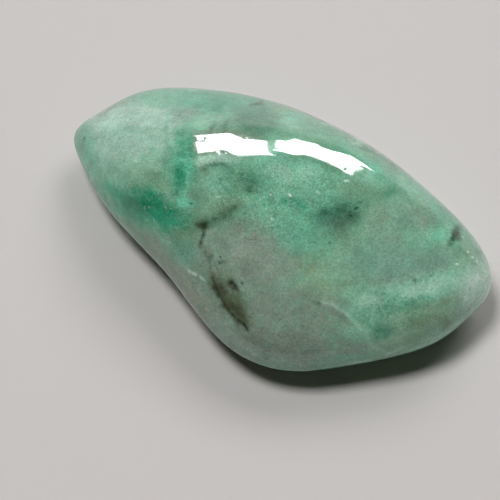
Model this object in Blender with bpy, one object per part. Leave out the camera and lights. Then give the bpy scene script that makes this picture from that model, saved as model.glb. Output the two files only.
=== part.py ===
"""A tumbled stone of emerald in its matrix, about 31 mm long, resting on the small flat worn
into its belly. Metres, +Z up, +X along its length, origin under its middle on the surface."""

from math import cos, pi, radians, sin, tan

import bmesh
import bpy
import numpy as np

MM = 0.001

# The stone is described from a point inside it, CORE_HEIGHT above the lowest point of its belly.
CORE_HEIGHT = 4.2 * MM
CROWN_RISE = 7.4 * MM
BELLY_DROP = 4.6 * MM

# How far the widest line round the stone reaches from the core, by compass bearing:
# 0 degrees is +X and 90 degrees is +Y.
GIRDLE = [
    (0, 14.63 * MM),
    (11, 13.9 * MM),
    (26, 11.3 * MM),
    (44, 9.2 * MM),
    (66, 8.0 * MM),
    (90, 8.05 * MM),
    (112, 9.72 * MM),
    (130, 12.47 * MM),
    (142, 14.7 * MM),
    (152, 16.28 * MM),
    (161, 16.55 * MM),
    (169, 17.02 * MM),
    (175, 17.45 * MM),
    (180, 16.1 * MM),
    (187, 14.2 * MM),
    (196, 12.3 * MM),
    (206, 10.65 * MM),
    (218, 9.4 * MM),
    (236, 8.8 * MM),
    (258, 9.45 * MM),
    (276, 10.5 * MM),
    (294, 11.1 * MM),
    (314, 11.43 * MM),
    (332, 12.66 * MM),
    (343, 13.58 * MM),
    (352, 14.12 * MM),
]

# The old broken faces that tumbling rounded: bearing and slope of each face's outward
# direction in degrees, and its distance from the core.
WORN_FACES = {
    "broad front": (-80, 68, 5.4 * MM),
    "pale left lobe": (170, 62, 8.7 * MM),
    "back left slope": (108, 50, 7.1 * MM),
    "back right slope": (60, 46, 7.9 * MM),
    "underside": (0, -90, 4.4 * MM),
}

# A higher number leaves a tighter edge where worn faces meet.
EDGE_TIGHTNESS = 7.0

# The pebble between its worn faces: 2 is an ellipse from girdle to crown, more is squarer.
FULLNESS = 2.3

# The flat it rests on is worn this far up into the belly.
FOOT_WEAR = 0.22 * MM

# The grid that the surface is drawn on, per side of the starting cube, and that cube's sides.
GRID = 24
CAGE = (15.0, 10.0, 6.5)


def clear_scene():
    for obj in list(bpy.data.objects):
        bpy.data.objects.remove(obj, do_unlink=True)


def girdle_reach(bearings):
    """A smooth closed curve through the girdle's points, read at these bearings."""
    known = np.radians([bearing for bearing, _ in GIRDLE])
    reach = np.array([length for _, length in GIRDLE])
    gaps = np.diff(np.append(known, known[0] + 2 * pi))
    slopes = np.diff(np.append(reach, reach[0])) / gaps
    before, after = np.roll(gaps, 1), gaps
    count = len(GIRDLE)
    system = np.diag(2 * (before + after))
    for i in range(count):
        system[i, i - 1] += after[i]
        system[i, (i + 1) % count] += before[i]
    tangents = np.linalg.solve(system, 3 * (after * np.roll(slopes, 1) + before * slopes))
    turned = np.mod(bearings, 2 * pi)
    at = np.searchsorted(known, turned, side="right") - 1
    width = gaps[at]
    t = (turned - known[at]) / width
    following = (at + 1) % count
    return (
        (1 + 2 * t) * (1 - t) ** 2 * reach[at]
        + t * (1 - t) ** 2 * width * tangents[at]
        + t**2 * (3 - 2 * t) * reach[following]
        + t**2 * (t - 1) * width * tangents[following]
    )


def stone_surface(directions):
    """The points of the worn surface in these directions from the core."""
    x, y, z = directions.T
    across = np.hypot(x, y) / girdle_reach(np.arctan2(y, x))
    upward = np.where(z > 0, z / CROWN_RISE, -z / BELLY_DROP)
    pebble = (across**FULLNESS + upward**FULLNESS) ** (1 / FULLNESS)
    nearness = pebble**EDGE_TIGHTNESS
    for bearing, slope, distance in WORN_FACES.values():
        bearing, slope = radians(bearing), radians(slope)
        outward = (cos(bearing) * cos(slope), sin(bearing) * cos(slope), sin(slope))
        facing = np.clip(directions @ np.array(outward), 0, None)
        nearness += (facing / distance) ** EDGE_TIGHTNESS
    return directions / nearness[:, None] ** (1 / EDGE_TIGHTNESS)


def grow_stone(bm):
    """Swells a gridded cube out to the worn surface."""
    bmesh.ops.create_cube(bm, size=2)
    bmesh.ops.subdivide_edges(bm, edges=bm.edges[:], cuts=GRID - 1, use_grid_fill=True)
    spread = [[tan(value * pi / 4) for value in vert.co] for vert in bm.verts]
    directions = np.array(spread) * CAGE
    directions /= np.linalg.norm(directions, axis=1, keepdims=True)
    for vert, point in zip(bm.verts, stone_surface(directions)):
        vert.co = point
        vert.co.z += CORE_HEIGHT


def wear_foot(bm):
    """Grinds the belly flat where the stone rests, and closes it."""
    lowest = min(vert.co.z for vert in bm.verts)
    worn = bmesh.ops.bisect_plane(
        bm,
        geom=bm.verts[:] + bm.edges[:] + bm.faces[:],
        plane_co=(0, 0, lowest + FOOT_WEAR),
        plane_no=(0, 0, 1),
        clear_inner=True,
    )
    rim = [edge for edge in worn["geom_cut"] if isinstance(edge, bmesh.types.BMEdge)]
    bmesh.ops.holes_fill(bm, edges=rim, sides=0)


def centre_on_foot(bm):
    """Puts the middle of the stone's box over the origin, with the foot on the surface."""
    corners = np.array([vert.co for vert in bm.verts])
    low, high = corners.min(axis=0), corners.max(axis=0)
    middle = (low + high) / 2
    bmesh.ops.translate(bm, verts=bm.verts[:], vec=(-middle[0], -middle[1], -low[2]))


def stone_material():
    material = bpy.data.materials.new("emerald_in_matrix")
    material.use_nodes = True
    shader = material.node_tree.nodes["Principled BSDF"]
    shader.inputs["Base Color"].default_value = (0.16, 0.31, 0.21, 1)
    shader.inputs["Roughness"].default_value = 0.08
    shader.inputs["Metallic"].default_value = 0
    return material


def build():
    clear_scene()
    collection = bpy.data.collections.new("emerald_in_matrix")
    bpy.context.scene.collection.children.link(collection)
    bm = bmesh.new()
    grow_stone(bm)
    wear_foot(bm)
    centre_on_foot(bm)
    bmesh.ops.recalc_face_normals(bm, faces=bm.faces[:])
    mesh = bpy.data.meshes.new("stone")
    bm.to_mesh(mesh)
    bm.free()
    mesh.shade_smooth()
    mesh.materials.append(stone_material())
    collection.objects.link(bpy.data.objects.new("stone", mesh))


build()
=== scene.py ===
"""The tumbled emerald in matrix on a pale table, under soft window light. Metres, +Z up."""

from math import cos, radians, sin

import bmesh
import bpy
import numpy as np
from mathutils import Matrix, Vector, noise
from mathutils.bvhtree import BVHTree


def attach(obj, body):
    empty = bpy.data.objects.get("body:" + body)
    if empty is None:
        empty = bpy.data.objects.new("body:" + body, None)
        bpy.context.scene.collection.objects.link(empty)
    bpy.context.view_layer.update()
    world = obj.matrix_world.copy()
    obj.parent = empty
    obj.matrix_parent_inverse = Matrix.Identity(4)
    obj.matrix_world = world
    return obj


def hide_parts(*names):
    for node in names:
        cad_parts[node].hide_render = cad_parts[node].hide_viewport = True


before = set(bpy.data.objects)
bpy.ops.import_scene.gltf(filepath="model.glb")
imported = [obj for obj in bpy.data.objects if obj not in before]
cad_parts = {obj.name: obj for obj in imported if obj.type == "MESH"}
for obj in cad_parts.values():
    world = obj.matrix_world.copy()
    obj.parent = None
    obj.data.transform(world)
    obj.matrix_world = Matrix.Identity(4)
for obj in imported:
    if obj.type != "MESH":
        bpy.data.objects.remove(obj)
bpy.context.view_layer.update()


# The camera looks down on the stone from the front right, close enough to fill the frame.
# It comes first, because the stone's markings are placed by where they are seen from here.
MM = 0.001
VIEW_BEARING = radians(22)
VIEW_HEIGHT = radians(60)
VIEW_DISTANCE = 141 * MM
VIEW_AIM = Vector((-0.57, -1.88, 3.05)) * MM
VIEW_LENS = 150

view_back = Vector((
    sin(VIEW_BEARING) * cos(VIEW_HEIGHT),
    -cos(VIEW_BEARING) * cos(VIEW_HEIGHT),
    sin(VIEW_HEIGHT),
))
view_right = Vector((cos(VIEW_BEARING), sin(VIEW_BEARING), 0))
view_up = view_back.cross(view_right)
view_point = VIEW_AIM + view_back * VIEW_DISTANCE

camera = bpy.data.objects.new("camera", bpy.data.cameras.new("camera"))
camera.location = view_point
camera.rotation_euler = view_back.to_track_quat("Z", "Y").to_euler()
camera.data.lens = VIEW_LENS
camera.data.clip_start = 1 * MM
bpy.context.scene.collection.objects.link(camera)
bpy.context.scene.camera = camera
bpy.context.scene.view_settings.view_transform = "Standard"


# The stone is one pebble of emerald and its pale quartz matrix, broken loose and then tumbled
# for weeks with finer and finer grit, so its broken faces are rounded and take a high polish.
# Its surface is the solid's own, its triangles joined in pairs and rounded twice.
SAME_POINT = 0.002 * MM
ROUNDINGS = 2

pebble_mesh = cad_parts["stone"].data.copy()
bm = bmesh.new()
bm.from_mesh(pebble_mesh)
bmesh.ops.remove_doubles(bm, verts=bm.verts[:], dist=SAME_POINT)
bmesh.ops.join_triangles(
    bm,
    faces=bm.faces[:],
    angle_face_threshold=radians(40),
    angle_shape_threshold=radians(60),
)
bm.to_mesh(pebble_mesh)
bm.free()
pebble = bpy.data.objects.new("pebble", pebble_mesh)
bpy.context.scene.collection.objects.link(pebble)
rounding = pebble.modifiers.new("rounding", "SUBSURF")
rounding.levels = ROUNDINGS
rounding.render_levels = ROUNDINGS
stone_mesh = bpy.data.meshes.new_from_object(
    pebble.evaluated_get(bpy.context.evaluated_depsgraph_get())
)
bpy.data.objects.remove(pebble)
stone_mesh.materials.clear()
stone = bpy.data.objects.new("tumbled_stone", stone_mesh)
bpy.context.scene.collection.objects.link(stone)

points = np.empty((len(stone_mesh.vertices), 3), np.float32)
normals = np.empty_like(points)
stone_mesh.vertices.foreach_get("co", points.ravel())
stone_mesh.vertex_normals.foreach_get("vector", normals.ravel())


def drift(size, seed):
    """A value from -1 to 1 at each point of the stone, wandering in swells of this size.

    Each seed gives another pattern.
    """
    shift = Vector((seed * 7.3, seed * 3.1, seed * 5.7))
    return np.array([noise.noise(Vector(point) / size + shift) for point in points])


# Tumbling leaves the faces very slightly uneven, with a few pits where a grain pulled out.
# Each pit is its place across and up in the camera's view, its radius and its depth, in mm. The
# stray ones lie anywhere, also round the back, and only the foot is flat.
SWELL_DEPTH = 0.016 * MM
SWELL_SIZE = 3.2 * MM
FOOT_TOP = 0.02 * MM
PITS = [
    (-3.2, 7.55, 0.2, 0.03), (-2.1, 7.6, 0.14, 0.02), (-1.95, 6.62, 0.2, 0.035),
    (-0.4, 7.05, 0.16, 0.015), (4.35, 7.05, 0.25, 0.03), (7.15, 5.95, 0.2, 0.02),
    (6.65, 5.4, 0.16, 0.025), (0.6, 7.2, 0.2, 0.012), (-11.2, 7.6, 0.2, 0.02),
    (-6.7, 2.85, 0.18, 0.02), (12.9, 0.7, 0.3, 0.03), (5.4, 2.4, 0.3, 0.02),
]
STRAY_PITS = 70
STRAY_RADIUS = (0.15, 0.35)
STRAY_DEPTH = (0.006, 0.022)
body = BVHTree.FromPolygons(
    [Vector(point) for point in points], [face.vertices for face in stone_mesh.polygons]
)


def touch(across, up):
    """The place on the stone that the camera sees this many mm across and up from its aim."""
    target = VIEW_AIM + (view_right * across + view_up * up) * MM
    found = body.ray_cast(view_point, (target - view_point).normalized())[0]
    return np.array(found if found is not None else target)


on_foot = points[:, 2] < FOOT_TOP
sunk = SWELL_DEPTH * (0.5 + 0.5 * drift(SWELL_SIZE, 1))
chance = np.random.default_rng(11)
pits = [(touch(across, up), radius, depth) for across, up, radius, depth in PITS]
for index in chance.choice(len(points), STRAY_PITS, replace=False):
    pits.append((points[index], chance.uniform(*STRAY_RADIUS), chance.uniform(*STRAY_DEPTH)))
for place, radius, depth in pits:
    near = np.linalg.norm(points - place, axis=1) / (radius * MM)
    sunk += depth * MM * np.clip(1 - near**2, 0, 1) ** 2
sunk[on_foot] = 0
points -= normals * sunk[:, None]
stone_mesh.vertices.foreach_set("co", points.ravel())
stone_mesh.update()
stone_mesh.shade_smooth()

# The colours, each named for what it is there. Most are the stone's own, but some also paint
# highlights, reflections and glow in places, as said where they are used.
TINTS = {
    "milky": (0.35, 0.53, 0.44),
    "frost": (0.38, 0.62, 0.50),
    "mint": (0.205, 0.49, 0.345),
    "turquoise": (0.15, 0.56, 0.38),
    "sea": (0.14, 0.43, 0.29),
    "sage": (0.20, 0.37, 0.26),
    "blue sage": (0.165, 0.35, 0.265),
    "olive": (0.14, 0.22, 0.13),
    "green quartz": (0.22, 0.37, 0.25),
    "quartz": (0.19, 0.26, 0.205),
    "milky quartz": (0.235, 0.305, 0.25),
    "buff quartz": (0.225, 0.25, 0.19),
    "smoky quartz": (0.16, 0.20, 0.165),
    "pine": (0.068, 0.235, 0.15),
    "moss": (0.025, 0.08, 0.045),
    "bright emerald": (0.042, 0.34, 0.205),
    "emerald": (0.027, 0.25, 0.145),
    "deep emerald": (0.012, 0.17, 0.09),
    "rust": (0.065, 0.075, 0.035),
    "umber": (0.014, 0.016, 0.008),
    "white": (0.75, 0.85, 0.80),
}

# Each patch is a tint, its middle across and up in the camera's view, its half length and half
# width, all in mm, its turn in degrees, its strength, and the softness of its edge. Later ones
# lie over earlier ones.
PATCHES = [
    # The milky lobe at the left, its green tip and the sage below it.
    ("milky", -8.32, 8.12, 3.93, 2.44, 14, 0.9, 0.5),
    ("frost", -9.27, 8.39, 1.22, 0.68, 0, 0.5, 0.6),
    ("frost", -6.43, 8.93, 1.02, 0.68, 0, 0.45, 0.6),
    ("frost", -6.5, 5.62, 0.54, 0.27, 10, 0.35, 0.7),
    ("sea", -9.61, 5.01, 2.44, 0.95, -40, 0.45, 0.5),
    ("moss", -11.23, 7.38, 0.41, 0.95, 0, 0.25, 0.6),
    ("sea", -11.23, 6.9, 0.81, 2.3, 12, 0.6, 0.5),
    ("sea", -4.06, 10.35, 4.74, 0.74, -3, 0.8, 0.5),
    ("pine", -2.37, 10.49, 2.03, 0.34, -4, 0.35, 0.7),
    ("olive", -6.23, 4.33, 0.81, 1.22, 0, 0.3, 0.6),
    ("pine", -5.01, 9.41, 0.47, 0.2, 10, 0.35, 0.6),
    ("pine", -3.65, 9.61, 0.27, 0.2, 0, 0.35, 0.6),
    # Emerald along the foot of the lobe and up the seam beside it.
    ("bright emerald", -8.53, 3.18, 2.17, 0.81, -40, 0.8, 0.5),
    ("emerald", -6.7, 2.77, 2.84, 1.15, -20, 0.95, 0.55),
    ("deep emerald", -6.56, 2.91, 1.49, 0.61, -12, 0.85, 0.6),
    ("deep emerald", -7.78, 3.18, 0.61, 0.41, -30, 0.5, 0.6),
    ("deep emerald", -7.04, 2.5, 0.41, 0.34, 0, 0.5, 0.6),
    ("bright emerald", -5.89, 1.96, 1.22, 0.68, -25, 0.6, 0.6),
    ("bright emerald", -4.53, 5.96, 0.74, 2.57, -3, 0.65, 0.6),
    ("emerald", -4.67, 5.01, 0.41, 1.02, -4, 0.65, 0.7),
    ("emerald", -4.74, 7.51, 0.27, 0.54, 0, 0.5, 0.6),
    ("mint", -5.01, 6.77, 0.41, 1.08, 0, 0.35, 0.6),
    ("turquoise", -4.4, 3.38, 0.41, 0.47, 0, 0.8, 0.5),
    ("turquoise", -4.2, 5.28, 0.27, 0.61, 0, 0.45, 0.6),
    ("deep emerald", -4.87, 5.21, 0.27, 0.34, 0, 0.5, 0.6),
    ("blue sage", -4.47, 0, 1.22, 0.81, 0, 0.7, 0.6),
    ("olive", -4.2, 0.81, 0.81, 0.61, 0, 0.4, 0.7),
    ("olive", -3.59, 2.03, 0.68, 0.68, 0, 0.6, 0.6),
    # The top edge, mint and dark green by turns.
    ("bright emerald", -2.37, 10.08, 2.84, 0.81, -6, 0.4, 0.6),
    ("sea", -1.49, 9.81, 2.3, 0.68, -8, 0.5, 0.5),
    ("emerald", -2.3, 9.81, 1.35, 0.61, 0, 0.45, 0.6),
    ("emerald", -2.1, 9.54, 0.34, 0.47, 0, 0.5, 0.6),
    ("mint", -3.32, 8.73, 0.88, 0.61, 15, 0.8, 0.5),
    ("frost", -3.18, 8.53, 0.47, 0.34, 0, 0.3, 0.6),
    ("mint", -1.42, 9.34, 0.47, 0.47, 0, 0.6, 0.6),
    ("mint", -0.88, 8.26, 0.61, 0.34, -10, 0.5, 0.6),
    ("mint", -0.27, 9.81, 0.54, 0.27, -15, 0.4, 0.6),
    ("pine", 0.41, 8.93, 1.62, 1.15, -5, 0.8, 0.8),
    ("moss", 0.41, 9.95, 0.54, 0.15, 8, 0.7, 0.5),
    ("mint", 2.91, 8.87, 1.15, 0.81, -25, 0.95, 0.5),
    ("turquoise", 3.11, 9.07, 0.81, 0.47, -20, 0.3, 0.6),
    ("frost", 2.84, 8.66, 0.54, 0.41, -20, 0.2, 0.6),
    ("sage", 5.21, 8.05, 1.15, 0.68, -30, 0.8, 0.5),
    ("pine", 4.87, 8.26, 0.54, 0.41, -30, 0.35, 0.6),
    ("sea", 6.43, 7.04, 2.98, 0.68, -32, 0.6, 0.5),
    ("frost", 7.24, 7.38, 0.54, 0.2, -32, 0.7, 0.5),
    ("pine", 7.99, 6.77, 0.41, 0.2, -32, 0.6, 0.6),
    ("turquoise", 8.46, 5.41, 0.54, 0.47, 0, 0.4, 0.6),
    # The middle, green and mottled round two dark clouds.
    ("sea", 2.37, 3.72, 4.2, 2.57, -10, 0.55, 0.5),
    ("mint", 1.49, 5.55, 2.44, 0.68, 0, 0.75, 0.5),
    ("milky", 2.23, 5.21, 1.08, 0.47, -10, 0.5, 0.6),
    # Painted reflection: the pale frost and milky band just under the left window mark is a soft
    # second image of the window, as from a crack inside.
    ("frost", -2.44, 6.02, 1.29, 0.34, -2, 0.8, 0.35),
    ("milky", -0.88, 6.09, 0.81, 0.34, 0, 0.4, 0.5),
    ("moss", -2.5, 5.48, 1.08, 0.19, -2, 0.65, 0.45),
    ("pine", -1.22, 4.87, 1.62, 0.95, 0, 0.5, 0.6),
    ("olive", -0.14, 4.67, 0.88, 0.88, 0, 0.45, 0.8),
    ("pine", -2.3, 4.67, 1.15, 0.88, 0, 0.35, 0.8),
    ("mint", -2.57, 4.47, 0.95, 0.61, 20, 0.45, 0.7),
    ("pine", 0.07, 4.74, 0.54, 0.81, 0, 0.65, 0.5),
    ("moss", 0, 4.47, 0.2, 0.27, 0, 0.5, 0.6),
    ("olive", -1.62, 2.77, 1.22, 0.61, 25, 0.6, 0.5),
    ("mint", 2.03, 3.99, 0.41, 0.95, 0, 0.7, 0.5),
    ("mint", 3.99, 5.08, 1.29, 0.74, -20, 0.85, 0.5),
    ("milky", 3.79, 5.28, 0.61, 0.41, -20, 0.35, 0.6),
    ("emerald", 2.71, 3.32, 0.47, 0.41, 0, 0.7, 0.6),
    ("emerald", 3.65, 3.11, 0.41, 0.41, 0, 0.6, 0.6),
    ("pine", 1.49, 3.45, 0.27, 0.47, 0, 0.55, 0.6),
    ("mint", 2.44, 1.89, 1.08, 0.61, 0, 0.4, 0.6),
    ("pine", 5.89, 2.1, 1.62, 1.15, 10, 1, 0.6),
    ("moss", 5.89, 1.76, 1.29, 0.81, 20, 0.55, 0.8),
    ("moss", 6.09, 1.69, 0.95, 0.61, 35, 0.65, 0.6),
    ("moss", 5.89, 1.42, 0.54, 0.47, 40, 0.9, 0.6),
    ("moss", 6.23, 2.91, 0.47, 0.34, 0, 0.7, 0.5),
    ("moss", 6.9, 2.44, 0.41, 0.34, 0, 0.6, 0.5),
    ("moss", 5.21, 2.57, 0.34, 0.27, 0, 0.5, 0.5),
    ("umber", 5.89, 1.49, 0.41, 0.34, 40, 0.7, 0.6),
    ("umber", 7.3, 2.98, 0.12, 0.2, -30, 0.8, 0.5),
    ("mint", 8.05, 4.74, 0.68, 0.74, 0, 0.5, 0.6),
    ("milky", 7.99, 5.01, 0.34, 0.54, 0, 0.35, 0.6),
    ("olive", 6.9, 3.99, 1.22, 0.61, 0, 0.45, 0.6),
    ("pine", 9.2, 3.79, 0.47, 0.27, 20, 0.8, 0.5),
    ("sage", 7.44, 0.68, 2.71, 1.22, 0, 0.5, 0.7),
    ("olive", 6.09, 0.47, 1.35, 0.61, 0, 0.4, 0.6),
    ("sea", 3.38, 0.68, 2.3, 1.22, 10, 0.45, 0.6),
    ("mint", 9.61, 1.49, 0.81, 0.54, 0, 0.35, 0.7),
    ("mint", 11.1, 3.65, 0.95, 0.54, -45, 0.5, 0.7),
    ("mint", 10.29, 2.71, 1.35, 0.81, -30, 0.35, 0.7),
    # Grey quartz in front, with yellower green beside it.
    ("quartz", -0.14, -0.54, 2.84, 2.17, 8, 0.85, 0.5),
    ("quartz", -1.69, 0.81, 1.62, 0.95, 20, 0.6, 0.6),
    ("milky quartz", 0, 0.14, 1.49, 0.81, 10, 0.75, 0.7),
    ("milky quartz", -0.95, 0, 0.61, 0.41, 0, 0.35, 0.6),
    ("milky quartz", 1.69, -1.15, 1.35, 0.81, 0, 0.7, 0.7),
    ("smoky quartz", -0.14, -1.22, 0.68, 0.54, 0, 0.4, 0.7),
    ("quartz", 2.71, -4.87, 4.2, 2.84, 6, 0.95, 0.35),
    ("smoky quartz", 1.69, -6.29, 2.71, 0.88, -4, 0.6, 0.6),
    ("smoky quartz", 3.25, -3.52, 1.62, 0.68, -10, 0.35, 0.7),
    ("smoky quartz", 5.08, -6.09, 1.08, 0.54, 10, 0.35, 0.7),
    ("quartz", 6.9, -6.56, 1.62, 0.68, 12, 0.8, 0.5),
    ("smoky quartz", 0.81, -3.38, 0.81, 1.08, 20, 0.3, 0.7),
    ("green quartz", 5.41, -1.62, 1.83, 1.69, 0, 0.95, 0.5),
    ("mint", 5.68, -1.22, 0.95, 0.81, 0, 0.3, 0.7),
    ("olive", 3.72, -0.81, 0.95, 0.81, 0, 0.35, 0.6),
    ("sea", 4.6, 0.14, 1.35, 0.81, 0, 0.45, 0.7),
    # The grey and buff quartz along the lower-left flank is partly the flank's own colour and partly
    # painted light: the flank is made paler where it turns down and takes the card's reflection.
    ("quartz", -4.67, -2.44, 4.33, 1.02, -52, 0.9, 0.45),
    ("buff quartz", -4.67, -2.44, 4.2, 0.88, -52, 0.8, 0.7),
    ("milky quartz", -1.22, -6.23, 2.03, 0.54, -40, 0.7, 0.5),
    ("milky quartz", -2.5, -3.59, 2.3, 0.47, -56, 0.6, 0.5),
    ("pine", -4.87, 0, 0.61, 1.02, 40, 0.3, 0.7),
    # The cloudy band at the right, and the green and sage round it.
    ("blue sage", 8.32, -0.81, 2.37, 1.56, 0, 0.65, 0.5),
    ("blue sage", 11.78, -0.81, 2.37, 0.88, 14, 0.65, 0.5),
    ("mint", 11.37, 0.68, 1.22, 0.81, 0, 0.35, 0.7),
    ("mint", 12.11, -2.57, 3.38, 0.95, 13, 0.9, 0.4),
    ("frost", 11.51, -2.71, 1.35, 0.54, 14, 0.7, 0.5),
    ("frost", 14.48, -2.1, 0.68, 0.47, 10, 0.6, 0.6),
    ("frost", 13.2, -2.17, 0.68, 0.34, 10, 0.4, 0.6),
    ("mint", 6.9, -2.91, 0.88, 0.54, 0, 0.45, 0.6),
    ("frost", 8.12, -3.65, 0.61, 0.61, 0, 0.55, 0.5),
    ("mint", 7.17, -4.6, 0.47, 0.54, -40, 0.3, 0.6),
    ("pine", 8.26, -4.74, 0.95, 0.61, -30, 0.45, 0.6),
    ("emerald", 10.15, -3.79, 2.03, 0.54, 12, 0.5, 0.5),
    ("pine", 8.73, -3.18, 0.54, 0.27, 0, 0.45, 0.6),
    ("pine", 7.85, -2.71, 0.41, 0.2, 0, 0.4, 0.6),
    ("green quartz", 13.2, -4.33, 2.71, 0.81, 20, 0.85, 0.5),
    ("green quartz", 11.51, -6.09, 3.38, 0.81, 18, 0.6, 0.5),
    ("milky", 13.2, -5.82, 3.38, 0.41, 30, 0.45, 0.7),
    ("olive", 13.13, -4.74, 0.61, 0.41, 0, 0.5, 0.6),
    ("olive", 11.37, -4.87, 0.81, 0.41, 20, 0.4, 0.6),
    ("pine", 8.93, -5.55, 0.74, 0.61, 0, 0.8, 0.45),
    ("sage", 14.14, -3.79, 1.08, 0.41, 25, 0.4, 0.7),
    ("mint", 12.72, 0.95, 0.68, 0.95, -25, 0.9, 0.6),
    ("turquoise", 12.66, 1.08, 0.34, 0.61, -20, 0.35, 0.6),
    ("moss", 14.01, 1.15, 0.34, 0.61, 10, 0.9, 0.45),
    ("umber", 13.94, 0.95, 0.2, 0.34, 0, 0.8, 0.5),
    ("moss", 13.67, 0.41, 0.17, 0.41, -10, 0.7, 0.5),
    ("sage", 14.96, -0.27, 1.08, 1.49, -10, 0.6, 0.6),
    ("green quartz", 15.9, -2.37, 0.61, 1.49, -10, 0.7, 0.6),
    # Painted light: the pale frost and white on the right tip make the thin tip look lit through.
    ("frost", 15.43, -2.64, 1.35, 1.76, -20, 0.95, 0.6),
    ("white", 15.63, -2.57, 1.02, 1.49, -20, 0.35, 0.7),
    # Dark iron stains at the knot of the vein and in the healed crack.
    ("moss", -2.17, 2.1, 1.35, 0.47, 28, 0.45, 0.8),
    ("umber", -1.29, 2.77, 0.2, 0.2, 0, 0.4, 0.8),
    ("rust", -3.18, 1.56, 0.54, 0.41, 0, 0.6, 0.6),
    ("umber", -3.18, 1.56, 0.37, 0.34, 0, 0.8, 0.6),
    ("rust", -1.35, -3.11, 1.89, 0.68, -56, 0.62, 0.7),
    ("rust", -0.88, -4.06, 1.02, 0.54, -54, 0.6, 0.6),
    ("umber", -0.95, -4.26, 0.88, 0.3, -50, 0.55, 0.8),
    ("umber", -2.13, -2.44, 0.37, 0.23, -50, 0.9, 0.7),
    ("umber", -1.25, -2.5, 0.47, 0.23, -60, 1, 0.7),
    ("umber", -1.02, -2.88, 0.22, 0.2, 0, 0.8, 0.6),
    ("umber", -2, -3.07, 0.23, 0.2, 0, 0.8, 0.6),
    ("umber", -1.18, -3.36, 0.12, 0.12, 0, 0.7, 0.6),
    ("umber", -0.28, -5.14, 0.23, 0.14, -45, 0.9, 0.5),
    ("olive", -1.49, -1.56, 0.34, 0.27, -40, 0.4, 0.8),
]

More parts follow.
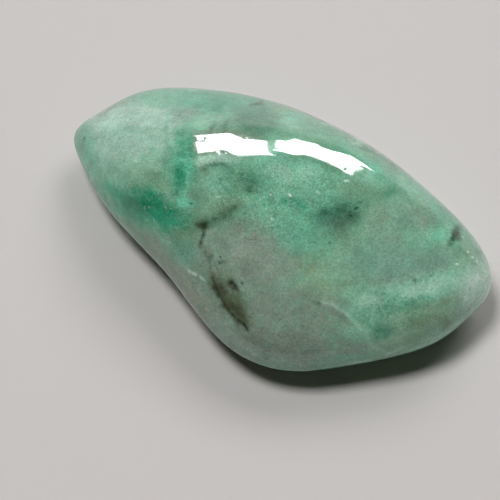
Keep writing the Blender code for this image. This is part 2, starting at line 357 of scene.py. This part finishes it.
# Each vein is a tint, its half width in mm, its strength and its way across the camera's view.
VEINS = {
    "crack by the mint patch": ("moss", 0.11, 0.85, [(-2.44, 8.66), (-2.57, 8.32), (-2.74, 8.05)]),
    "crack above the window": (
        "moss", 0.11, 0.85,
        [(-1.59, 8.8), (-1.69, 8.39), (-1.78, 7.99), (-2.2, 7.85)],
    ),
    "dark arc": ("moss", 0.12, 0.6, [(-0.14, 9.71), (0.27, 9.91), (0.81, 9.91)]),
    "branching vein": (
        "moss", 0.26, 0.55,
        [(-3.52, 1.76), (-2.91, 1.83), (-2.37, 2.1), (-1.89, 2.23), (-1.42, 2.64), (-1.15, 2.98)],
    ),
    "core of the vein": (
        "umber", 0.11, 0.5,
        [(-3.72, 1.83), (-3.32, 1.69), (-2.84, 1.83), (-2.44, 2.03)],
    ),
    "root of the vein": (
        "umber", 0.13, 0.85,
        [(-3.11, 1.62), (-3.11, 1.08), (-3.28, 0.68), (-3.42, 0.2)],
    ),
    "faint line on to the rust": (
        "rust", 0.14, 0.5,
        [(-3.11, 0.14), (-2.88, -0.41), (-2.71, -0.88), (-2.5, -1.69)],
    ),
    "specks below it": ("umber", 0.13, 0.7, [(-2.77, -0.41), (-2.54, -0.34)]),
    "speck beside those": ("umber", 0.1, 0.8, [(-2.06, -0.83), (-1.76, -0.81)]),
    "short line above the rust": ("rust", 0.1, 0.6, [(-2.27, -1.02), (-2.13, -1.35)]),
    "rust in a healed crack": (
        "rust", 0.3, 0.55,
        [(-2.37, -2.03), (-1.96, -2.84), (-1.49, -3.65), (-0.95, -4.33), (-0.34, -5.01)],
    ),
    "left border of the rust": (
        "umber", 0.1, 0.8,
        [
            (-2.5, -1.83), (-2.27, -2.44), (-2.03, -3.11), (-1.56, -3.93), (-1.08, -4.53),
            (-0.27, -5.14),
        ],
    ),
    "shade inside the chip": (
        "smoky quartz", 0.24, 0.55,
        [(4.6, -3.72), (5.68, -4.13), (6.43, -4.6), (6.97, -5.14)],
    ),
    "edge of the chip": (
        "frost", 0.1, 0.5,
        [
            (4.87, -3.59), (5.41, -3.59), (5.96, -3.99), (6.63, -4.4), (7.11, -4.87),
            (7.44, -5.28), (7.92, -5.68), (8.12, -6.16), (8.53, -6.63), (9.47, -6.97),
        ],
    ),
    "foot of the chip": ("frost", 0.12, 0.7, [(9.27, -6.97), (9.75, -6.9), (10.29, -6.63)]),
    "dot by the chip": ("moss", 0.12, 0.85, [(4.4, -3.62), (4.67, -3.62)]),
    "line over the band": ("moss", 0.09, 0.85, [(11.1, -2.1), (11.78, -1.96), (12.38, -1.66)]),
    "seam up the lobe": ("sea", 0.1, 0.55, [(-5.62, 9.34), (-5.65, 8.12), (-5.55, 6.97)]),
    "pale seam beside it": ("frost", 0.09, 0.45, [(-5.38, 9.34), (-5.41, 8.12), (-5.35, 7.11)]),
    "seam by the window": ("emerald", 0.12, 0.8, [(-4.06, 7.85), (-3.99, 6.9), (-3.93, 6.09)]),
    "upper edge in the seam": ("pine", 0.07, 0.55, [(-5.01, 6.63), (-4.47, 6.36), (-3.99, 6.5)]),
    "edge below it": ("mint", 0.07, 0.6, [(-4.67, 6.09), (-4.2, 5.96), (-3.59, 6.23)]),
    "middle edge in the seam": ("pine", 0.08, 0.6, [(-5.08, 5.62), (-4.53, 5.41), (-3.99, 5.48)]),
    "steep edge in the seam": ("mint", 0.08, 0.6, [(-4.26, 5.28), (-4.2, 4.47), (-4.47, 3.65)]),
    "lowest edge in the seam": (
        "deep emerald", 0.09, 0.6,
        [(-4.94, 5.01), (-4.81, 4.33), (-5.01, 3.65)],
    ),
    # Painted highlights: a pale line along the foot where the rim catches the light, brightest towards
    # the right.
    "painted highlight along the foot": (
        "milky quartz", 0.12, 0.7,
        [(-0.68, -6.43), (0.34, -7.11), (1.35, -7.58), (2.71, -7.75), (6.09, -7.72), (8.26, -7.51)],
    ),
    "painted highlight brightest there": ("frost", 0.11, 0.8, [(6.77, -7.68), (8.26, -7.51)]),
    # Painted highlights: a pale line along the left flank, and white streaks where fine scratches on
    # the flank catch the light.
    "painted highlight on the flank": ("milky quartz", 0.09, 0.5, [(-6.77, 0.47), (-5.96, -0.47), (-5.41, -1.49)]),
    "upper painted highlight streak": ("white", 0.09, 0.7, [(-4.09, -1.42), (-3.65, -1.69)]),
    "lower painted highlight streak": ("white", 0.09, 0.5, [(-3.38, -1.83), (-3.05, -2.1)]),
    "faint painted highlight streak": ("white", 0.08, 0.25, [(-2.98, -3.99), (-2.71, -4.26)]),
}

# Single grains that catch the light or stay dark: tint, place across and up in mm, and strength.
SPECKS = [
    ("white", -7.1, 2.84, 0.35), ("white", -6.77, 2.88, 0.4), ("white", -5.75, 2.88, 0.25),
    ("white", -6.5, 2.03, 0.25), ("white", 1.35, 3.72, 0.8), ("white", 2.7, 3.7, 0.9),
    ("white", 1.45, 2.1, 0.7), ("white", 6.63, 4.64, 0.8), ("white", 4.67, 3.79, 0.4),
    ("white", 5.4, 0.55, 0.6), ("white", 14.4, 0.9, 0.9), ("white", 14.8, -0.1, 0.8),
    ("white", 15.1, -0.55, 0.7), ("white", 15.35, -0.75, 0.6), ("white", 14.0, -0.95, 0.7),
    ("white", 8.5, 6.55, 0.5), ("white", -10.5, 7.7, 0.4), ("white", -2.1, 3.65, 0.5),
    ("umber", -11.2, 7.58, 0.9), ("moss", -3.9, 3.1, 0.9), ("moss", 0, 3.93, 0.7),
    ("moss", -1.9, 4.74, 0.7), ("umber", 7.2, 2.9, 0.9), ("moss", 7.15, 2.7, 0.8),
    ("moss", 5.5, 0.54, 0.9), ("moss", 5.4, 0.4, 0.6), ("moss", 4.4, 0.5, 0.6),
    ("moss", 12.2, 2.8, 0.8), ("moss", 12.5, 2.37, 0.6), ("umber", 6.75, 2.35, 0.7),
    ("moss", 2.8, 3.0, 0.5), ("umber", -2.0, -0.5, 0.8), ("umber", -0.55, -2.3, 0.9),
    ("umber", -0.3, -5.1, 0.9), ("moss", -11.0, 5.6, 0.3), ("moss", 0.9, 3.1, 0.5),
]

# Zones of dark flecks among fine crystals, of bright glints, of fine white cloud and of scuffs in
# the polish: middle, half sizes, turn and density, as for the patches.
FLECKS = [
    (2.2, 3.2, 5.6, 3.0, -8, 1.0), (12.5, 1.5, 2.5, 2.0, -40, 0.6), (-2.2, -2.5, 1.4, 4.0, 25, 0.5),
    (-6.4, 3.0, 3.0, 1.4, -20, 1.0), (-0.5, 9.3, 3.8, 1.1, -5, 0.9), (10.0, -4.0, 2.6, 1.3, 12, 0.8),
    (-4.5, 5.5, 1.1, 3.0, -3, 0.9),
]
GLINTS = [
    (-6.6, 2.8, 2.4, 1.0, -15, 0.6), (3.0, 3.4, 4.0, 2.0, 0, 0.4), (14.6, -0.6, 0.8, 1.4, -30, 0.6),
]
CLOUDS = [
    (12.2, -2.5, 3.6, 1.0, 13, 1.0), (8.2, -3.9, 1.0, 0.8, 0, 1.0),
    (-3.2, 8.5, 1.6, 0.9, 0, 0.7), (-2.5, 4.4, 1.1, 0.8, 0, 0.7),
]
SCUFFS = [(-0.9, 7.0, 2.2, 0.7, -5, 1.0)]

# How far the border of a marking strays from its plain form at each point, in mm: in broad swells
# and in finer ones, each with a pattern for across and one for up. Veins stray less.
wander = np.zeros((len(points), 2))
for size, reach, seeds in ((1.5 * MM, 0.45, (2, 3)), (0.45 * MM, 0.24, (4, 5))):
    wander += np.stack([drift(size, seed) for seed in seeds], axis=1) * reach
VEIN_WANDER = 0.15


def in_view(places):
    """How far across, up and towards the camera each place is from its aim, in mm."""
    ways = np.array([view_right, view_up, view_back])
    away = (np.atleast_2d(places) - np.array(view_point)) @ ways.T
    spread = VIEW_DISTANCE / -away[:, 2:]
    return np.hstack([away[:, :2] * spread, away[:, 2:] + VIEW_DISTANCE]) / MM


# Veins stay on the side that is seen, so none of them comes out again round the back.
seen = in_view(points)
facing = np.clip(normals @ np.array(view_back) * 6 + 0.6, 0, 1)


def patch_cover(across, up, length, width, turn, softness):
    """How much of a patch each point of the stone takes: an egg in its skin, with torn edges."""
    middle = in_view(touch(across, up))[0]
    x, y = seen[:, 0] + wander[:, 0] - across, seen[:, 1] + wander[:, 1] - up
    turn = radians(turn)
    along = (x * cos(turn) + y * sin(turn)) / length
    aside = (y * cos(turn) - x * sin(turn)) / width
    deep = (seen[:, 2] - middle[2]) / (1 + 1.6 * max(length, width))
    reach = np.sqrt(along**2 + aside**2 + deep**2)
    edge = np.clip((1 + softness - reach) / (2 * softness), 0, 1)
    return edge * edge * (3 - 2 * edge)


def vein_cover(width, way):
    """How much of a thin vein each point of the stone takes."""
    place = seen[:, :2] + wander * VEIN_WANDER
    nearest = np.full(len(place), np.inf)
    for start, end in zip(np.array(way[:-1]), np.array(way[1:])):
        step = end - start
        share = np.clip((place - start) @ step / (step @ step), 0, 1)
        nearest = np.minimum(nearest, np.linalg.norm(place - start - share[:, None] * step, axis=1))
    return np.exp(-((nearest / width) ** 2)) * facing


# Under all markings lies sage green that turns to sea green, quartz, pine and mint in broad
# swells, also where the camera doesn't see. The grain of the rock tears the patches and breaks
# the veins.
tint = np.tile(np.array(TINTS["sage"]), (len(points), 1))
for name, size, seed, share in (
    ("sea", 5 * MM, 6, 0.8),
    ("quartz", 6 * MM, 7, 0.8),
    ("pine", 2.4 * MM, 8, 0.5),
    ("mint", 2.8 * MM, 9, 0.6),
):
    cover = np.clip(drift(size, seed) * 2.2, 0, 1)[:, None] * share
    tint += (np.array(TINTS[name]) - tint) * cover
torn = 0.92 + 0.5 * drift(0.32 * MM, 12) + 0.3 * drift(0.8 * MM, 13)
for name, across, up, length, width, turn, strength, softness in PATCHES:
    cover = patch_cover(across, up, length, width, turn, softness) * torn
    tint += (np.array(TINTS[name]) - tint) * np.clip(cover, 0, 1)[:, None] * strength
broken = 0.75 + 0.8 * drift(0.3 * MM, 10)
for name, width, strength, way in VEINS.values():
    cover = np.clip(vein_cover(width, way) * broken, 0, 1)[:, None] * strength
    tint += (np.array(TINTS[name]) - tint) * cover

for name, across, up, strength in SPECKS:
    grain = np.argmin(np.linalg.norm(points - touch(across, up), axis=1))
    tint[grain] += (np.array(TINTS[name]) - tint[grain]) * strength

# Painted light: the steep and downward sides are made paler and greener in the colour, a painted glow
# that stands in for light coming through the thinner edges.
edge = np.clip(0.6 - normals[:, 2:], 0, 0.6)
tint *= 1 + edge * (0, 0.35, 0.22)

marks = np.zeros((len(points), 4))
for column, zones in enumerate((FLECKS, GLINTS, CLOUDS, SCUFFS)):
    for across, up, length, width, turn, density in zones:
        cover = patch_cover(across, up, length, width, turn, 0.5) * density
        marks[:, column] = np.maximum(marks[:, column], cover)
for name, values in (("tint", np.hstack([tint, np.ones((len(tint), 1))])), ("marks", marks)):
    attribute = stone_mesh.color_attributes.new(name, "FLOAT_COLOR", "POINT")
    attribute.data.foreach_set("color", values.astype(np.float32).ravel())

# The finish: the tints through fine grain, mottling, silky fibres and crystals, with wisps of
# cloud, dark flecks and glints, under a clear polish that has fine pits and a few scuffs.
polish = bpy.data.materials.new("polished_emerald_matrix")
polish.use_nodes = True
nodes = polish.node_tree.nodes
links = polish.node_tree.links
surface = nodes["Principled BSDF"]
place = nodes.new("ShaderNodeTexCoord").outputs["Object"]


def feed(node, **sources):
    """Gives each named socket of the node its source: another socket, or a plain value."""
    for socket, source in sources.items():
        socket = node.inputs[socket.replace("_", " ")]
        if isinstance(source, bpy.types.NodeSocket):
            links.new(source, socket)
        else:
            socket.default_value = source
    return node


def cloud(size, detail, at=place):
    """Noise in lumps of this size, with this many finer layers."""
    node = nodes.new("ShaderNodeTexNoise")
    return feed(node, Vector=at, Scale=1 / size, Detail=detail, Roughness=0.6).outputs["Fac"]


def spread(value, low, high, to_low, to_high):
    """The value's range from low to high, moved to another range."""
    node = nodes.new("ShaderNodeMapRange")
    feed(node, Value=value, From_Min=low, From_Max=high, To_Min=to_low, To_Max=to_high)
    return node.outputs["Result"]


def product(first, second):
    """One value times another."""
    node = nodes.new("ShaderNodeMath")
    node.operation = "MULTIPLY"
    for socket, source in zip(node.inputs, (first, second)):
        if isinstance(source, bpy.types.NodeSocket):
            links.new(source, socket)
        else:
            socket.default_value = source
    return node.outputs["Value"]


def blend(share, under, over):
    """One colour laid over another, by a share from 0 to 1."""
    node = nodes.new("ShaderNodeMix")
    node.data_type = "RGBA"
    links.new(share, node.inputs["Factor"])
    for socket, source in ((node.inputs[6], under), (node.inputs[7], over)):
        if isinstance(source, bpy.types.NodeSocket):
            links.new(source, socket)
        else:
            socket.default_value = (*source, 1)
    return node.outputs[2]


def dots(size, radius, share):
    """Round dots in some of the cells of this size: radius and share are parts of a cell."""
    cells = feed(nodes.new("ShaderNodeTexVoronoi"), Vector=place, Scale=1 / size)
    dot = spread(cells.outputs["Distance"], radius * 0.6, radius, 1, 0)
    lot = feed(nodes.new("ShaderNodeSeparateColor"), Color=cells.outputs["Color"])
    return product(dot, spread(lot.outputs["Red"], 1 - share, 1.01 - share, 0, 1))


def read(name):
    """What the stone's points carry under this name."""
    node = nodes.new("ShaderNodeAttribute")
    node.attribute_name = name
    return node.outputs


def tinged(colour, amounts):
    """The colour with its red, green and blue each changed by so much."""
    node = nodes.new("ShaderNodeVectorMath")
    node.operation = "MULTIPLY"
    links.new(colour, node.inputs[0])
    node.inputs[1].default_value = amounts
    return node.outputs["Vector"]


def scaled(colour, amount):
    """The colour made lighter or darker by a pattern."""
    node = nodes.new("ShaderNodeVectorMath")
    node.operation = "SCALE"
    links.new(colour, node.inputs[0])
    links.new(amount, node.inputs["Scale"])
    return node.outputs["Vector"]


marked = feed(nodes.new("ShaderNodeSeparateColor"), Color=read("marks")["Color"]).outputs
slant = feed(nodes.new("ShaderNodeMapping"), Vector=place)
slant.inputs["Rotation"].default_value = (radians(20), radians(35), radians(25))
slant.inputs["Scale"].default_value = (1, 0.22, 1)
shade = product(
    product(
        spread(cloud(0.13 * MM, 2), 0.3, 0.7, 0.8, 1.2),
        spread(cloud(0.9 * MM, 4), 0.3, 0.7, 0.86, 1.14),
    ),
    spread(cloud(0.25 * MM, 2, slant.outputs["Vector"]), 0.3, 0.7, 0.96, 1.04),
)
colour = scaled(read("tint")["Color"], shade)
crystals = spread(cloud(0.11 * MM, 1), 0.3, 0.7, 0.77, 1.23)
colour = blend(marked["Red"], colour, scaled(colour, crystals))
hue = spread(cloud(0.55 * MM, 3), 0.35, 0.65, 0, 1)
colour = blend(hue, tinged(colour, (0.95, 1, 1.01)), tinged(colour, (1.05, 1, 0.98)))
wisps = spread(cloud(0.24 * MM, 3), 0.42, 0.68, 0, 0.4)
colour = blend(product(wisps, marked["Blue"]), colour, (0.42, 0.70, 0.56))
flecks = product(
    spread(cloud(0.3 * MM, 3), 0.54, 0.7, 0, 1),
    spread(cloud(1.5 * MM, 1), 0.4, 0.6, 0.15, 1),
)
colour = blend(product(flecks, product(marked["Red"], 0.6)), colour, (0.04, 0.15, 0.09))
colour = blend(product(dots(0.5 * MM, 0.12, 0.2), marked["Green"]), colour, (0.75, 0.95, 0.82))
feed(surface, Base_Color=colour, Roughness=spread(cloud(0.7 * MM, 2), 0.3, 0.7, 0.035, 0.075))
dimples = nodes.new("ShaderNodeBump")
feed(dimples, Height=dots(0.45 * MM, 0.22, 0.2), Strength=0.25, Distance=0.01 * MM)
dimples.invert = True
scuffs = nodes.new("ShaderNodeBump")
feed(scuffs, Height=spread(cloud(0.16 * MM, 2), 0.58, 0.7, 0, 1), Distance=0.005 * MM)
feed(scuffs, Strength=product(read("marks")["Alpha"], 0.6), Normal=dimples.outputs["Normal"])
links.new(scuffs.outputs["Normal"], surface.inputs["Normal"])
surface.inputs["IOR"].default_value = 1.56
surface.inputs["Subsurface Weight"].default_value = 0.25
surface.inputs["Subsurface Radius"].default_value = (0.7, 1.0, 0.8)
surface.inputs["Subsurface Scale"].default_value = 0.9 * MM
stone_mesh.materials.append(polish)

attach(stone, "root")
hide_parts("stone")


# The table is one flat sheet of plain pale card with a matt face. It reaches far enough to fill
# the view from above and from low at the sides.
CARD_REACH = 0.3

bm = bmesh.new()
bmesh.ops.create_grid(bm, x_segments=1, y_segments=1, size=CARD_REACH)
table_mesh = bpy.data.meshes.new("table")
bm.to_mesh(table_mesh)
bm.free()
table = bpy.data.objects.new("table", table_mesh)
bpy.context.scene.collection.objects.link(table)
card = bpy.data.materials.new("matt_card")
card.use_nodes = True
card_surface = card.node_tree.nodes["Principled BSDF"]
card_surface.inputs["Base Color"].default_value = (0.5, 0.49, 0.49, 1)
card_surface.inputs["Roughness"].default_value = 0.9
card_surface.inputs["Specular IOR Level"].default_value = 0.2
table_mesh.materials.append(card)


# A tall window in two panes stands behind the stone and makes its two bright marks. Each pane is
# two or three panels, a little askew over each other. A soft light nearly overhead and a weaker
# one from the window's side light the card and the stone, in a dim room with a paler horizon.
WINDOW_DISTANCE = 0.5
WINDOW_POWER = 3.0
LAMP_DISTANCE = 0.6
HORIZON_LOW = radians(4.2)
HORIZON_HIGH = radians(5.5)
PALE_HORIZON = (0.52, 0.51, 0.5, 1)
DIM_ROOM = (0.032, 0.019, 0.01, 1)


def hang_light(name, bearing, height, roll, distance, size, power, warmth):
    """A flat light at this bearing and height in degrees, facing the stone and rolled."""
    light = bpy.data.lights.new(name, "AREA")
    light.shape = "RECTANGLE"
    light.size, light.size_y = size
    light.energy = power
    light.color = warmth
    lamp = bpy.data.objects.new(name, light)
    bearing, height = radians(bearing), radians(height)
    towards = Vector((
        cos(bearing) * cos(height), sin(bearing) * cos(height), sin(height)
    ))
    lamp.location = towards * distance
    upright = towards.to_track_quat("Z", "Y").to_matrix()
    lamp.rotation_euler = (upright @ Matrix.Rotation(radians(roll), 3, "Z")).to_euler()
    bpy.context.scene.collection.objects.link(lamp)
    return lamp


for name, bearing, height, roll, size in (
    ("left_pane", 128, 45, -6, (0.07, 0.4)),
    ("left_pane_top", 131, 48, -22, (0.15, 0.18)),
    ("right_pane", 96, 40.5, -8, (0.18, 0.3)),
    ("right_pane_edge", 107, 44, -6, (0.07, 0.14)),
    ("right_pane_foot", 95, 37, -22, (0.06, 0.5)),
):
    pane = hang_light(name, bearing, height, roll, WINDOW_DISTANCE, size, WINDOW_POWER, (1, 1, 1))
    pane.visible_diffuse = False
for name, bearing, height, side, power, warmth in (
    ("softbox", 203, 77, 0.14, 2.75, (1, 0.99, 0.98)),
    ("side_light", 75, 52, 0.3, 1.45, (1, 0.98, 0.96)),
):
    soft = hang_light(name, bearing, height, 0, LAMP_DISTANCE, (side, side), power, warmth)
    soft.visible_glossy = False

world = bpy.data.worlds.new("room")
world.use_nodes = True
sky = world.node_tree.nodes
way_up = sky.new("ShaderNodeSeparateXYZ")
low_down = sky.new("ShaderNodeMapRange")
low_down.inputs["From Min"].default_value = sin(HORIZON_LOW)
low_down.inputs["From Max"].default_value = sin(HORIZON_HIGH)
room = sky.new("ShaderNodeMix")
room.data_type = "RGBA"
room.inputs[6].default_value = PALE_HORIZON
room.inputs[7].default_value = DIM_ROOM
for source, socket in (
    (sky.new("ShaderNodeTexCoord").outputs["Object"], way_up.inputs[0]),
    (way_up.outputs["Z"], low_down.inputs["Value"]),
    (low_down.outputs["Result"], room.inputs["Factor"]),
    (room.outputs[2], sky["Background"].inputs["Color"]),
):
    world.node_tree.links.new(source, socket)
bpy.context.scene.world = world


bpy.context.view_layer.update()
